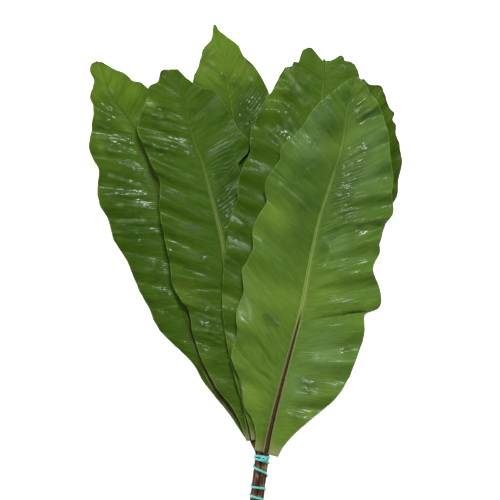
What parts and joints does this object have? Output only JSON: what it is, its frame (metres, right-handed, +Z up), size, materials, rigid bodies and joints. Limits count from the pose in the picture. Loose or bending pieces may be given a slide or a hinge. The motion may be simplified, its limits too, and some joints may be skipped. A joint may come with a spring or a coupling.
{
  "type": "banana birds nest fern",
  "caption": "Tied bunch of cut bird's nest fern fronds with long wavy strap-shaped blades and brown stalks, lying flat.",
  "frame": {"origin": "middle of the bunch's footprint, on the surface it lies on", "axes": "+Y from the cut stalks to the frond tips, +X to the right as seen from above with the tips pointing away, +Z up"},
  "size_m": [0.3761, 0.6021, 0.0428],
  "materials": {
    "blade": "satin",
    "stalk": "satin",
    "string": "matte"
  },
  "bodies": {
    "root": {"frond_left_blade": "blade", "frond_left_stalk": "stalk", "frond_right_blade": "blade", "frond_right_stalk": "stalk", "frond_back_blade": "blade", "frond_back_stalk": "stalk", "frond_second_blade": "blade", "frond_second_stalk": "stalk", "frond_split_blade": "blade", "frond_split_stalk": "stalk", "frond_front_blade": "blade", "frond_front_stalk": "stalk", "tie": "string"}
  },
  "joints": []
}
